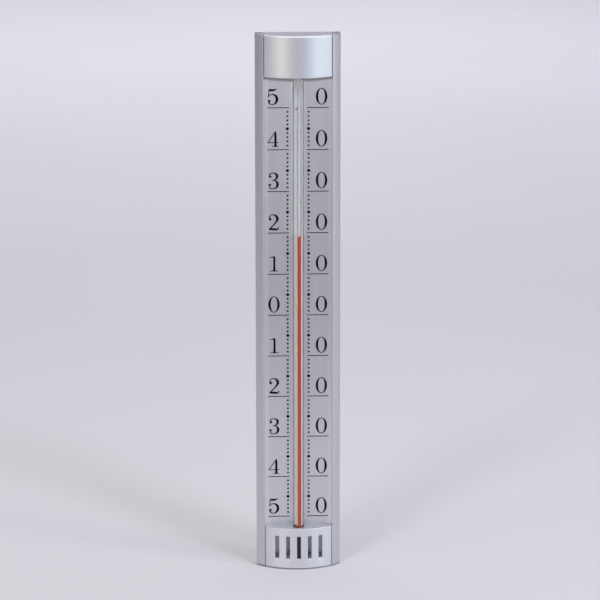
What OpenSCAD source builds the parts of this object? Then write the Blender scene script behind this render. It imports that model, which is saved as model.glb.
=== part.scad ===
// Wall and table thermometer for indoors and outdoors. An extruded aluminium profile
// carries a printed scale plate between two rails. A spirit-filled glass tube stands in
// front of the plate, its upper end under a plastic cap and its bulb behind a slotted
// plastic cover. Millimetres, Z up, front towards -Y, origin under the middle of the foot.
// Depths are measured from the crown of the front arc towards the back.

/* [Body] */
// Overall width over both rails
body_w = 40; // [38:0.5:50]
// Depth from the crown of the front arc to the back of the rails
body_d = 13.6; // [12.6:0.1:20]
// How far the inner edges of the rails stand in front of the scale plate
rail_rise = 2; // [1.6:0.1:3]
// Width of each side rail
rail_w = 3.9; // [3:0.1:4.6]
// Radius on the long outer corners of the rails
rail_corner_r = 0.6; // [0.2:0.1:1]
// Thickness of the web that joins the rails
web_t = 1.5; // [1:0.1:2.4]
// Free height between the foot and the lower end of the web
web_foot_gap = 4.6; // [3:0.1:6]

/* [Scale] */
// Lowest printed temperature in degrees
deg_low = -50; // [-60:10:-10]
// Highest printed temperature in degrees
deg_high = 50; // [30:10:60]
// Height of one degree on the scale
scale_step = 2; // [1.6:0.05:2.6]
// Bare plate between the cover and the lowest line
low_margin = 4.3; // [3.5:0.1:12]
// Bare plate between the highest line and the cap
high_margin = 14.9; // [12:0.1:30]
// Thickness of the scale plate
plate_t = 0.6; // [0.4:0.05:1]
// How far each plate edge sits in its rail
plate_grip = 1.1; // [0.6:0.1:1.5]
// Distance of the dot columns from the middle
dot_column_x = 4.96; // [4.2:0.02:6]
// Distance of the inner ends of the lines from the middle
line_inner_x = 4.2; // [3.6:0.1:6]
// Length of each ten-degree line
line_len = 10.2; // [7:0.1:11]
// Thickness of each ten-degree line
line_w = 0.42; // [0.3:0.02:0.7]
// Diameter of a one-degree dot
dot_d = 0.62; // [0.4:0.02:0.9]
// Diameter of a five-degree dot
dot_five_d = 1.16; // [0.8:0.02:1.5]
// Thickness of the printed ink
ink_t = 0.05; // [0.03:0.01:0.1]

/* [Tube] */
// Outer diameter of the glass stem
tube_d = 5.2; // [4.6:0.1:5.8]
// Diameter of the bore
bore_d = 1.6; // [1:0.1:2]
// Outer diameter of the bulb
bulb_d = 5.8; // [5.4:0.1:6.6]
// Glass thickness around the bulb
bulb_wall = 0.6; // [0.4:0.1:1]
// Height of the taper between bulb and stem
bulb_taper_h = 1.2; // [0.8:0.1:2]
// Solid glass above the bore
tip_t = 2.5; // [1.5:0.1:3]
// Temperature that the spirit shows
rest_deg = 19.6; // [-40:0.1:45]
// Height above the cover at which the moving part of the column begins
column_rise = 0.5; // [0.2:0.1:1.5]
// Height of the moving top of the spirit
meniscus_h = 1.2; // [0.8:0.1:2]
// Wall of the rubber sleeves around the stem
sleeve_wall = 0.45; // [0.3:0.05:0.6]
// Height of the lower sleeve
lower_sleeve_h = 1.4; // [1:0.1:2]
// Bare tip of the tube above the upper sleeve
tube_tip_show = 1.6; // [1:0.1:2]
// Thickness of the rubber pad under the bulb
pad_t = 1.2; // [0.8:0.1:2]

/* [Cap and cover] */
// Height of the top cap
cap_h = 19.8; // [18.6:0.1:28]
// Height of the bulb cover
cover_h = 20; // [18:0.1:30]
// Wall of the cap and the cover
shell_t = 1.2; // [1:0.1:1.6]
// Thickness of the plates that close both ends of the body
end_t = 1.6; // [1.2:0.1:2]
// Thickness of the rear lips behind the web
lip_t = 1.4; // [1:0.1:2]
// Height of the rear lip on the cap
cap_lip_h = 3; // [2:0.1:3.4]
// Height of the rear lip on the cover
cover_lip_h = 6; // [5:0.1:7]
// Radius on the front top edge of the cap
cap_edge_r = 0.9; // [0.4:0.1:1.2]
// Radius on the other front edges of cap and cover
trim_edge_r = 0.3; // [0.1:0.05:0.5]
// Number of slots in the cover
slot_count = 5; // [3:2:5]
// Distance from slot to slot
slot_pitch = 5.2; // [4.8:0.1:5.4]
// Width of a slot
slot_w = 1.85; // [1.2:0.05:2]
// Height of the lower ends of the slots
slot_low = 4.7; // [3:0.1:8]
// Wall between the slots and the top of the cover
slot_high = 4; // [2:0.1:6]

/* [Fasteners and hanger] */
// Diameter of the round entry of the keyhole
key_d = 7; // [6:0.1:8]
// Width of the keyhole slot
key_slot_w = 3.6; // [3:0.1:4.4]
// Rise from the middle of the entry to the end of the slot
key_rise = 4.2; // [3.8:0.1:5]
// Web above the keyhole slot
key_land = 1.8; // [1.2:0.1:3]
// Free height between the keyhole and the tip of the tube below it
key_room = 0.5; // [0.3:0.1:1]
// Room for the nail head in the plate, on each side of the keyhole
nail_room = 1; // [0.5:0.1:2]
// Thread diameter of the screws
screw_d = 2.2; // [1.8:0.1:2.4]
// Head diameter of the screws
screw_head_d = 3.8; // [3.2:0.1:4]
// Head height of the screws
screw_head_h = 1.2; // [0.8:0.1:1.6]
// Diameter of the screw bosses
boss_d = 4; // [3.6:0.1:4.2]
// Distance of the cap screws from the middle
cap_screw_x = 9.5; // [8.4:0.1:11]
// Distance of the cap screws below the top
cap_screw_drop = 9; // [6:0.1:12]
// Height of the cover screws above the foot
cover_screw_z = 10; // [8:0.1:14]
// How far the cap screws bite into their bosses
cap_screw_bite = 3.6; // [2:0.1:4]
// How far the cover screws bite into their bosses
cover_screw_bite = 2.2; // [1.6:0.1:2.4]

/* [Fits] */
// Gap between a rail and the cap or cover
seam_gap = 0.2; // [0.1:0.05:0.4]
// Gap between the plate and the front lip of its groove
groove_gap = 0.05; // [0.02:0.01:0.1]
// Gap at each side edge of the plate in its groove
plate_side_gap = 0.1; // [0.05:0.05:0.3]
// Gap between the ends of the web and the plate that closes the top
end_gap = 0.2; // [0.1:0.05:0.5]
// Gap between the stem and the plate behind it
tube_gap = 0.1; // [0.05:0.05:0.3]
// Gap between the cap or cover and the widest part of the tube
front_gap = 0.15; // [0.1:0.05:0.5]
// Gap between the bulb or a sleeve and the web
rear_gap = 0.25; // [0.1:0.05:0.5]
// Gap around the stem where it enters the cap and the cover
entry_gap = 0.35; // [0.2:0.05:0.5]
// Gap between a sleeve and the lip next to it
sleeve_seat_gap = 0.2; // [0.1:0.05:0.4]
// Gap between glass and the liquid or rubber that touches it
film_gap = 0.02; // [0.01:0.01:0.04]
// Radial clearance of the moving top of the spirit in the bore
meniscus_gap = 0.05; // [0.02:0.01:0.1]
// Gap between the bulb and the sides of the cut-out in the plate
notch_gap = 0.6; // [0.3:0.05:0.7]
// Radial clearance of a screw in the web and the plate
screw_gap = 0.1; // [0.05:0.05:0.3]
// Undersize of the pilot holes in the bosses, on the radius
screw_grip = 0.25; // [0.1:0.05:0.4]

/* [Hidden] */

round_fn = 64;
arc_fn = 180;
dot_sides = 8;
past = 1;

channel_w = body_w - 2 * rail_w;
shell_w = channel_w - 2 * seam_gap;
tube_r = tube_d / 2;
bulb_r = bulb_d / 2;
bore_r = bore_d / 2;
sleeve_r = tube_r + sleeve_wall;
widest_r = max(bulb_r, sleeve_r);

// Depths behind the crown of the arc
axis_y = shell_t + front_gap + widest_r;
plate_y = axis_y + tube_r + tube_gap;
plate_back_y = plate_y + plate_t;
web_y = max(plate_back_y, axis_y + widest_r + rear_gap);
web_back_y = web_y + web_t;

// The front arc runs from the crown to the inner edges of the rails
arc_drop = plate_y - rail_rise;
face_r = (channel_w * channel_w / 4 + arc_drop * arc_drop) / (2 * arc_drop);

// Heights above the foot
scale_low_z = cover_h + low_margin;
zero_z = scale_low_z - deg_low * scale_step;
scale_high_z = zero_z + deg_high * scale_step;
cap_z = scale_high_z + high_margin;
body_h = cap_z + cap_h;
web_top_z = body_h - end_t - end_gap;
key_slot_z = web_top_z - key_land - key_slot_w / 2;
key_z = key_slot_z - key_rise;
tube_top_z = key_z - key_d / 2 - key_room;
upper_sleeve_z = cap_z + shell_t + 2 * sleeve_seat_gap;
upper_sleeve_top_z = tube_top_z - tube_tip_show;
lower_sleeve_top_z = cover_h - shell_t - sleeve_seat_gap;
lower_sleeve_z = lower_sleeve_top_z - lower_sleeve_h;
stem_z = lower_sleeve_z - sleeve_seat_gap;
bulb_end_z = stem_z - bulb_taper_h;
bulb_z = end_t + pad_t;
bore_top_z = tube_top_z - tip_t;
column_foot_z = cover_h + column_rise;
reading_z = zero_z + rest_deg * scale_step;
column_top_z = reading_z - meniscus_h;
cap_screw_z = body_h - cap_screw_drop;
cover_screw_x = shell_w / 2 - boss_d / 2;

echo(body_h = body_h, column_foot_z = column_foot_z, keyhole_z = key_z);
echo(reading_z = reading_z, fall = reading_z - scale_low_z, rise = scale_high_z - reading_z);

// Sets a piece whose depths count from the crown into the frame
module from_crown() {
    translate([0, -body_d / 2, 0]) children();
}

// Cylinder along the depth, from a depth towards the back
module depth_rod(x, y, z, r, length) {
    translate([x, y, z]) rotate([-90, 0, 0]) cylinder(r = r, h = length, $fn = round_fn);
}

// One copy on each side of the middle
module both_sides() {
    children();
    mirror([1, 0, 0]) children();
}

// Outline of the right rail, seen from above
module rail_outline() {
    corner_x = body_w / 2 - rail_corner_r;
    arc_to_corner = face_r - rail_corner_r;
    corner_y = face_r - sqrt(arc_to_corner * arc_to_corner - corner_x * corner_x);
    lean = asin(corner_x / arc_to_corner);
    reach = 3 * rail_corner_r;
    difference() {
        intersection() {
            translate([0, face_r]) circle(r = face_r, $fn = arc_fn);
            translate([channel_w / 2, 0]) square([rail_w, body_d]);
        }
        // Round the front outer corner, where the arc meets the side
        difference() {
            polygon([[corner_x, corner_y],
                     [corner_x + reach * sin(lean), corner_y - reach * cos(lean)],
                     [corner_x + reach, corner_y - reach * cos(lean)],
                     [corner_x + reach, corner_y]]);
            translate([corner_x, corner_y]) circle(r = rail_corner_r, $fn = round_fn);
        }
        // Round the rear outer corner
        difference() {
            translate([corner_x, body_d - rail_corner_r]) square(rail_corner_r + past);
            translate([corner_x, body_d - rail_corner_r]) circle(r = rail_corner_r, $fn = round_fn);
        }
        // Groove for the edge of the scale plate
        translate([channel_w / 2 - past, plate_y - groove_gap])
            square([plate_grip + plate_side_gap + past, plate_t + groove_gap]);
    }
}

// Extruded aluminium body: two rails on one arc, joined by a web with a keyhole
module profile() {
    color([0.66, 0.66, 0.69]) from_crown() difference() {
        union() {
            both_sides() linear_extrude(height = body_h) rail_outline();
            translate([-channel_w / 2 - rail_corner_r, web_y, web_foot_gap])
                cube([channel_w + 2 * rail_corner_r, web_t, web_top_z - web_foot_gap]);
        }
        depth_rod(0, web_y - past, key_z, key_d / 2, web_t + 2 * past);
        depth_rod(0, web_y - past, key_slot_z, key_slot_w / 2, web_t + 2 * past);
        translate([-key_slot_w / 2, web_y - past, key_z])
            cube([key_slot_w, web_t + 2 * past, key_rise]);
        screw_holes(web_y, web_t);
    }
}

// Clearance holes for the four screws through a wall at a depth
module screw_holes(y, wall) {
    both_sides() {
        depth_rod(cap_screw_x, y - past, cap_screw_z, screw_d / 2 + screw_gap, wall + 2 * past);
        depth_rod(cover_screw_x, y - past, cover_screw_z, screw_d / 2 + screw_gap, wall + 2 * past);
    }
}

// Aluminium plate that slides in the grooves, cut out for the bulb and for the nail
module scale_plate() {
    plate_w = channel_w + 2 * plate_grip;
    bulb_cut_w = 2 * (widest_r + notch_gap);
    nail_cut_w = key_d + 2 * nail_room;
    color([0.72, 0.72, 0.75]) from_crown() difference() {
        translate([-plate_w / 2, plate_y, web_foot_gap])
            cube([plate_w, plate_t, web_top_z - web_foot_gap]);
        translate([-bulb_cut_w / 2, plate_y - past, web_foot_gap - past])
            cube([bulb_cut_w, plate_t + 2 * past, cover_h - shell_t - web_foot_gap + past]);
        translate([-nail_cut_w / 2, plate_y - past, cap_z + shell_t])
            cube([nail_cut_w, plate_t + 2 * past, body_h]);
        screw_holes(plate_y, plate_t);
    }
}

// Printed scale: a line every ten degrees and a dot at each degree between them
module scale_marks() {
    ink_y = plate_y - ink_t;
    color([0.06, 0.06, 0.08]) from_crown() both_sides()
        for (deg = [deg_low : deg_high]) {
            z = zero_z + deg * scale_step;
            if (deg % 10 == 0)
                translate([line_inner_x, ink_y, z - line_w / 2]) cube([line_len, ink_t, line_w]);
            else
                translate([dot_column_x, ink_y, z]) rotate([-90, 0, 0])
                    cylinder(d = deg % 5 == 0 ? dot_five_d : dot_d, h = ink_t, $fn = dot_sides);
        }
}

// Half outline of a bulb that tapers into a stem, both round, by radius and height
module bulb_and_stem(wide_r, stem_r, low_z, wide_end_z, stem_start_z, top_z, top_round_r) {
    intersection() {
        union() {
            translate([0, low_z + wide_r]) circle(r = wide_r, $fn = round_fn);
            translate([0, low_z + wide_r]) square([wide_r, wide_end_z - low_z - wide_r]);
            polygon([[0, wide_end_z], [wide_r, wide_end_z], [stem_r, stem_start_z], [0, stem_start_z]]);
            translate([0, stem_start_z]) square([stem_r, top_z - top_round_r - stem_start_z]);
            translate([0, top_z - top_round_r]) circle(r = top_round_r, $fn = round_fn);
        }
        translate([0, low_z]) square([2 * wide_r, top_z - low_z]);
    }
}

// Sealed glass tube with its bulb and its bore
module glass_tube() {
    color([0.85, 0.9, 0.92, 0.4]) from_crown() translate([0, axis_y, 0])
        rotate_extrude($fn = round_fn) difference() {
            bulb_and_stem(bulb_r, tube_r, bulb_z, bulb_end_z, stem_z, tube_top_z, tube_r);
            bulb_and_stem(bulb_r - bulb_wall, bore_r, bulb_z + bulb_wall, bulb_end_z, stem_z,
                          bore_top_z, bore_r);
        }
}

// Spirit that stays in the bulb and the foot of the bore
module bulb_spirit() {
    color([0.7, 0.08, 0.06]) from_crown() translate([0, axis_y, 0])
        rotate_extrude($fn = round_fn) difference() {
            bulb_and_stem(bulb_r - bulb_wall - film_gap, bore_r - film_gap, bulb_z + bulb_wall + film_gap,
                          bulb_end_z, stem_z, bore_top_z, bore_r - film_gap);
            translate([0, column_foot_z]) square([bulb_d, bore_top_z]);
        }
}

// Spirit that grows and shrinks in the bore below the reading
module spirit_column() {
    color([0.85, 0.2, 0.12]) from_crown() translate([0, axis_y, column_foot_z])
        cylinder(r = bore_r - film_gap, h = column_top_z - column_foot_z, $fn = round_fn);
}

// Top of the spirit, with the hollow surface that wets the glass
module meniscus() {
    dish_r = bore_r;
    dish_depth = meniscus_h / 5;
    dish_centre_z = meniscus_h - dish_depth + dish_r;
    color([0.85, 0.2, 0.12]) from_crown() translate([0, axis_y, column_top_z]) difference() {
        cylinder(r = bore_r - meniscus_gap, h = meniscus_h, $fn = round_fn);
        translate([0, 0, dish_centre_z]) sphere(r = dish_r, $fn = round_fn);
    }
}

// Rubber ring around the stem between two heights
module sleeve(low_z, top_z) {
    color([0.12, 0.12, 0.13]) from_crown() translate([0, axis_y, low_z]) difference() {
        cylinder(r = sleeve_r, h = top_z - low_z, $fn = round_fn);
        translate([0, 0, -past])
            cylinder(r = tube_r + film_gap, h = top_z - low_z + 2 * past, $fn = round_fn);
    }
}

// Sleeve that centres the upper end of the tube under the cap
module upper_sleeve() {
    sleeve(upper_sleeve_z, upper_sleeve_top_z);
}

// Sleeve that centres the stem just above the bulb
module lower_sleeve() {
    sleeve(lower_sleeve_z, lower_sleeve_top_z);
}

// Rubber pad with a dish that the bulb stands in
module bulb_pad() {
    pad_r = bulb_r - film_gap;
    dish_depth = pad_t / 2;
    color([0.12, 0.12, 0.13]) from_crown() translate([0, axis_y, end_t]) difference() {
        cylinder(r = pad_r, h = pad_t + dish_depth, $fn = round_fn);
        translate([0, 0, pad_t + bulb_r]) sphere(r = bulb_r + film_gap, $fn = round_fn);
    }
}

// Half outline of a round block whose rim has a radius at the top and at the bottom
module rim_outline(r, height, low_edge_r, top_edge_r) {
    difference() {
        square([r, height]);
        translate([r - top_edge_r, height - top_edge_r]) difference() {
            square(top_edge_r + past);
            circle(r = top_edge_r, $fn = round_fn);
        }
        translate([r - low_edge_r, low_edge_r]) mirror([0, 1]) difference() {
            square(low_edge_r + past);
            circle(r = low_edge_r, $fn = round_fn);
        }
    }
}

// Hollow block between the rails: front on the arc, open towards the plate, with an end
// plate and a rear lip at its closed end. The closed end is drawn at the bottom.
module end_shell(height, lip_h, closed_edge_r, open_edge_r) {
    inner_w = shell_w - 2 * shell_t;
    inner_h = height - end_t - shell_t;
    difference() {
        intersection() {
            translate([0, face_r, 0]) rotate_extrude($fn = arc_fn)
                rim_outline(face_r, height, closed_edge_r, open_edge_r);
            translate([-shell_w / 2, 0, 0]) cube([shell_w, body_d, height]);
        }
        // Hollow behind the front wall
        intersection() {
            translate([0, face_r, end_t]) cylinder(r = face_r - shell_t, h = inner_h, $fn = arc_fn);
            translate([-inner_w / 2, 0, end_t]) cube([inner_w, plate_y + past, inner_h]);
        }
        // Room for the plate and the web, up to the rear lip
        translate([-shell_w / 2 - past, plate_y, end_t])
            cube([shell_w + 2 * past, body_d - lip_t - plate_y, height]);
        translate([-shell_w / 2 - past, plate_y, lip_h]) cube([shell_w + 2 * past, body_d, height]);
        // Entry for the stem
        translate([0, axis_y, height - shell_t - past])
            cylinder(r = tube_r + entry_gap, h = shell_t + 2 * past, $fn = round_fn);
        translate([-tube_r - entry_gap, axis_y, height - shell_t - past])
            cube([tube_d + 2 * entry_gap, body_d, shell_t + 2 * past]);
    }
}

// Pair of bosses from the front wall to the plate
module bosses(x, z) {
    intersection() {
        both_sides() depth_rod(x, 0, z, boss_d / 2, plate_y);
        translate([-shell_w / 2, 0, 0]) cube([shell_w, plate_y, 2 * z]);
        translate([0, face_r, 0]) cylinder(r = face_r - shell_t / 2, h = 2 * z, $fn = arc_fn);
    }
}

// Pilot holes in a pair of bosses
module pilots(x, z, bite) {
    both_sides() depth_rod(x, plate_y - bite, z, screw_d / 2 - screw_grip, bite + past);
}

// Plastic cap that closes the top and hides the keyhole, the cover's shape upside down
module top_cap() {
    color([0.8, 0.81, 0.84]) from_crown() translate([0, 0, body_h]) mirror([0, 0, 1]) difference() {
        union() {
            end_shell(cap_h, cap_lip_h, cap_edge_r, trim_edge_r);
            bosses(cap_screw_x, cap_screw_drop);
        }
        pilots(cap_screw_x, cap_screw_drop, cap_screw_bite);
    }
}

// Plastic cover that shields the bulb and lets the air in through its slots
module bulb_cover() {
    slot_h = cover_h - slot_low - slot_high;
    color([0.8, 0.81, 0.84]) from_crown() difference() {
        union() {
            end_shell(cover_h, cover_lip_h, trim_edge_r, trim_edge_r);
            bosses(cover_screw_x, cover_screw_z);
        }
        pilots(cover_screw_x, cover_screw_z, cover_screw_bite);
        for (i = [0 : slot_count - 1])
            translate([(i - (slot_count - 1) / 2) * slot_pitch - slot_w / 2, -past, slot_low])
                cube([slot_w, axis_y + past, slot_h]);
    }
}

// Pan-head screw with a cross recess, head at the back of the web, tip towards the front
module screw(x, z, bite) {
    length = web_back_y - plate_y + bite;
    recess_share = 0.6;
    recess_w = screw_d / 4;
    recess_l = screw_head_d * recess_share;
    recess_depth = screw_head_h * recess_share;
    difference() {
        union() {
            depth_rod(x, web_back_y - length, z, screw_d / 2, length);
            depth_rod(x, web_back_y, z, screw_head_d / 2, screw_head_h);
        }
        for (turn = [0, 90])
            translate([x, web_back_y + screw_head_h, z]) rotate([0, turn, 0])
                cube([recess_l, 2 * recess_depth, recess_w], center = true);
    }
}

// Screws that hold the cap from behind
module cap_screws() {
    color([0.6, 0.6, 0.62]) from_crown()
        both_sides() screw(cap_screw_x, cap_screw_z, cap_screw_bite);
}

// Screws that hold the cover from behind
module cover_screws() {
    color([0.6, 0.6, 0.62]) from_crown()
        both_sides() screw(cover_screw_x, cover_screw_z, cover_screw_bite);
}

profile();
scale_plate();
scale_marks();
glass_tube();
bulb_spirit();
spirit_column();
meniscus();
upper_sleeve();
lower_sleeve();
bulb_pad();
top_cap();
bulb_cover();
cap_screws();
cover_screws();
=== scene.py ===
import math

import bmesh
import bpy
import numpy as np
from mathutils import Matrix, Vector


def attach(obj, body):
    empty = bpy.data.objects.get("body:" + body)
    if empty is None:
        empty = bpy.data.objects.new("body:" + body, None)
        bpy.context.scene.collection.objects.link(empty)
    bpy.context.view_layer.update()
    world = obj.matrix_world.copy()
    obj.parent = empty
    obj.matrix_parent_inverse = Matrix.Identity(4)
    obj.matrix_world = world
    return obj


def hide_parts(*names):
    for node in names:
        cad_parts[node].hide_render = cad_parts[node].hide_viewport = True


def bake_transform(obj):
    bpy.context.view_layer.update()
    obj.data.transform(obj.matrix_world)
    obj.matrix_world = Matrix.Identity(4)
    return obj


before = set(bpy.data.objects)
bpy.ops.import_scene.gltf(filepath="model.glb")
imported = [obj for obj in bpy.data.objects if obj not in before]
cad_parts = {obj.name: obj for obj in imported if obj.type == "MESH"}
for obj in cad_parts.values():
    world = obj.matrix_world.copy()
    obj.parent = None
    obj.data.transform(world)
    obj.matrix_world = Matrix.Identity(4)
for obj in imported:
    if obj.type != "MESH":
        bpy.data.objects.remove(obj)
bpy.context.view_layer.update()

# Sizes in millimetres. One that the solids have too is the same there, but for ENTRY_R, BORE_X,
# DOT_R, DOT_FIVE_R and LINE_W, which follow the photo. A depth counts from the crown of the
# front arc towards the back; x and z are those of the frame.
MM = 0.001
BODY_W, BODY_D, BODY_H = 40.0, 13.6, 259.0
RAIL_X = 16.1          # inner side of a rail
SHELL_X = 15.9         # side of the cap and of the cover
RAIL_EDGE_R = 0.6      # long outer corners of the rails
RAIL_INNER_R = 0.25    # long inner corners of the rails
RAIL_RISE = 2.0        # height of the rails' inner edges above the plate
PLATE_D, PLATE_T = 7.1, 0.6
PLATE_X = 17.2         # side edge of the plate in its groove
GROOVE_D, GROOVE_X = 7.05, 17.3      # front and side of that groove
WEB_D, WEB_BACK_D = 7.7, 9.2
WEB_LOW_Z, WEB_TOP_Z = 4.6, 257.2
CAP_Z, COVER_H = 239.2, 20.0
SHELL_T, END_T = 1.2, 1.6
LIP_D = 12.2           # front of the rear lips
CAP_LIP_H, COVER_LIP_H = 3.0, 6.0
CAP_EDGE_R, TRIM_EDGE_R = 0.9, 0.3
SIDE_EDGE_R = 0.25     # upright edges of cap and cover beside the rails
SLOT_W, SLOT_PITCH, SLOT_LOW_Z, SLOT_TOP_Z = 1.85, 5.2, 4.7, 16.0
SLOT_EDGE_R = 0.15
SLOT_EDGE_LINES = SLOT_EDGE_R * np.array([0, 0.25, 0.6, 1.0])   # lines round a slot, from its edge
AXIS_D = 4.4           # depth of the tube's axis
TUBE_AXIS = (0, AXIS_D, 0)
TUBE_R, BORE_R, BULB_R, BULB_WALL = 2.6, 0.8, 2.9, 0.6
BORE_X = 0.32          # how far the bore lies to the right of the middle of the stem
BULB_Z, BULB_END_Z, STEM_Z = 2.8, 15.8, 17.0
TUBE_TOP_Z, BORE_TOP_Z = 245.4, 242.9
ENTRY_R = 2.75         # where the stem enters the cap and the cover
COLUMN_FOOT_Z, COLUMN_TOP_Z, READING_Z = 20.5, 162.3, 163.5
WET = 0.01             # how far the spirit reaches into the glass, so that no air shows between
PAD_R, PAD_Z, PAD_TOP_Z = 2.88, 1.6, 3.4
SLEEVE_R = 3.05
UPPER_SLEEVE, LOWER_SLEEVE = (240.8, 243.8), (17.2, 18.6)
KEY_R, KEY_Z, KEY_SLOT_W, KEY_SLOT_Z = 3.5, 249.4, 3.6, 253.6
CAP_SCREW, COVER_SCREW = (9.5, 250.0), (13.9, 10.0)
SCREW_R, SCREW_HOLE_R, HEAD_R, HEAD_H, BOSS_R = 1.1, 1.2, 1.9, 1.2, 2.0
SCREW_GRIP = 0.25      # how far a screw bites into the wall of its boss
CAP_BITE, COVER_BITE = 3.6, 2.2      # how far the screws reach in front of the plate
ZERO_Z, DEGREE, SCALE_END = 124.3, 2.0, 50
DOT_X, DOT_R, DOT_FIVE_R = 4.96, 0.47, 0.75
LINE_X, LINE_LEN, LINE_W = 4.2, 10.2, 0.38
INK_T = 0.05
PEN_GAIN, PEN_SPREAD = 1.08, 0.035   # how much wider the ink lies than the numerals' pen
NUMERAL_UP = 1.45      # from a line to the foot of the numeral on it
LEFT_CELL_X, RIGHT_NOUGHT_X, LEFT_NOUGHT_X = -14.45, 11.04, -11.45
TICK_Z, TICK_X = 224.6, -0.9

ARC_DROP = PLATE_D - RAIL_RISE
ARC_R = (RAIL_X ** 2 + ARC_DROP ** 2) / (2 * ARC_DROP)


# ---------------------------------------------------------------- surfaces

def arc_depth(x, sunk=0.0):
    """Depth of the front arc at x: the arc's radius less the long side of the triangle that x
    makes in a circle whose radius is smaller by sunk."""
    return ARC_R - np.sqrt((ARC_R - sunk) ** 2 - np.asarray(x, float) ** 2)


def quarter(steps):
    """Sine and cosine of steps + 1 even angles from nought to a right angle."""
    a = np.linspace(0, np.pi / 2, steps + 1)
    return np.sin(a), np.cos(a)


def unit(rows):
    """Rows divided by their lengths, which count as no less than a trace."""
    return rows / np.maximum(np.linalg.norm(rows, axis=1, keepdims=True), 1e-9)


def at_depth(outline, depth):
    """Points of an outline in x and z, set at one depth: the depth goes between the two."""
    return np.stack([outline[:, 0], np.full(len(outline), float(depth)), outline[:, 1]], 1)


def grid_faces(rows, cols, wrap=False):
    """Corner numbers of the four-sided faces of a grid numbered row by row. wrap joins the
    last column to the first."""
    r, c = np.meshgrid(np.arange(rows - 1), np.arange(cols if wrap else cols - 1), indexing="ij")
    d = (c + 1) % cols
    return np.stack([r * cols + c, r * cols + d, (r + 1) * cols + d, (r + 1) * cols + c],
                    -1).reshape(-1, 4)


def carried(rings):
    """Closed skin of an outline carried along a path: rings is an array of path stations by
    outline points by 3, and the first and the last ring are filled."""
    stations, around = rings.shape[:2]
    faces = grid_faces(stations, around, wrap=True).tolist()
    faces += [list(range(around))[::-1], list(range((stations - 1) * around, stations * around))]
    return rings.reshape(-1, 3), faces


def turned(profile, centre, segments, along="z"):
    """Closed skin of a profile of radius and height that starts and ends on its axis, turned
    round it: across = radius times cosine and sine, along = height."""
    profile = np.asarray(profile, float)
    a = np.arange(segments) / segments * 2 * np.pi
    r, h = profile[:, :1], profile[:, 1:]
    one, two, three = r * np.cos(a), r * np.sin(a), np.broadcast_to(h, (len(profile), segments))
    xyz = (one, two, three) if along == "z" else (one, three, two)
    points = np.stack(xyz, -1) + np.asarray(centre, float)
    return points.reshape(-1, 3), grid_faces(len(profile), segments, wrap=True).tolist()


def rounded(corners, radii, steps=6):
    """Outline with its corners rounded: each corner gives way to an arc that touches both its
    sides, at radius over tangent of half the angle from the corner."""
    p = np.asarray(corners, float)
    r = np.broadcast_to(np.asarray(radii, float), (len(p),))[:, None]
    back, ahead = unit(np.roll(p, 1, 0) - p), unit(np.roll(p, -1, 0) - p)
    half = np.arccos(np.clip((back * ahead).sum(1), -1, 1))[:, None] / 2
    middle, across = unit(back + ahead), unit(ahead - back)
    centre = p + middle * r / np.sin(half)
    sweep = (np.linspace(-1, 1, steps + 1)[None, :] * (np.pi / 2 - half))[:, :, None]
    points = centre[:, None] + r[:, None] * (-middle[:, None] * np.cos(sweep)
                                             + across[:, None] * np.sin(sweep))
    points = points.reshape(-1, 2)
    same = 1e-4
    return points[np.linalg.norm(points - np.roll(points, 1, 0), axis=1) > same]


def inset(outline, amount):
    """Outline, run through clockwise or not, moved to its right by amount along the mean of
    the normals of the two sides that meet at each point."""
    side = unit(np.roll(outline, -1, 0) - outline)
    normal = np.stack([side[:, 1], -side[:, 0]], 1)
    mean = normal + np.roll(normal, 1, 0)
    mean /= np.maximum((mean ** 2).sum(1, keepdims=True) / 2, 0.5)
    return outline + mean * amount


def circle(x, z, r, points):
    """Points of a circle: centre plus radius times cosine and sine."""
    a = np.arange(points) / points * 2 * np.pi
    return np.stack([x + r * np.cos(a), z + r * np.sin(a)], 1)


def box(x0, x1, z0, z1):
    """Corners of an upright rectangle."""
    return np.array([[x0, z0], [x1, z0], [x1, z1], [x0, z1]])


def sheet(outline, holes, front, back):
    """Closed skin of a flat sheet across the depth: outline and holes in x and z are filled at
    the front, the fill is copied to the back and walls join the two."""
    loops = [outline, *holes]
    flat, ends = np.concatenate(loops), np.cumsum([len(loop) for loop in loops])
    edges = np.concatenate([np.stack([np.arange(e - len(loop), e),
                                      (np.arange(len(loop)) + 1) % len(loop) + e - len(loop)], 1)
                            for loop, e in zip(loops, ends)])
    filled = bpy.data.meshes.new("fill")
    filled.from_pydata(at_depth(flat, 0), edges.tolist(), [])
    bm = bmesh.new()
    bm.from_mesh(filled)
    bmesh.ops.triangle_fill(bm, use_beauty=True, use_dissolve=False, edges=bm.edges)
    tris = np.array([[v.index for v in f.verts] for f in bm.faces])
    bm.free()
    bpy.data.meshes.remove(filled)
    walls = np.concatenate([edges, edges[:, ::-1] + len(flat)], 1)
    return (np.concatenate([at_depth(flat, front), at_depth(flat, back)]),
            tris.tolist() + (tris + len(flat)).tolist() + walls.tolist())


def smooth_path(knots, steps=8):
    """Curve through knots, each a row of numbers: between two knots it is the cubic whose
    slope at each is half the step from the knot before to the knot after."""
    p = np.asarray(knots, float)
    p = np.concatenate([2 * p[:1] - p[1:2], p, 2 * p[-1:] - p[-2:-1]])
    t = np.arange(steps)[:, None] / steps
    a, b, c, d = (p[i:len(p) - 3 + i, None] for i in range(4))
    curve = 0.5 * (2 * b + (c - a) * t + (2 * a - 5 * b + 4 * c - d) * t ** 2
                   + (3 * b - a - 3 * c + d) * t ** 3)
    return np.concatenate([curve.reshape(-1, p.shape[1]), p[-2:-1]])


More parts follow.
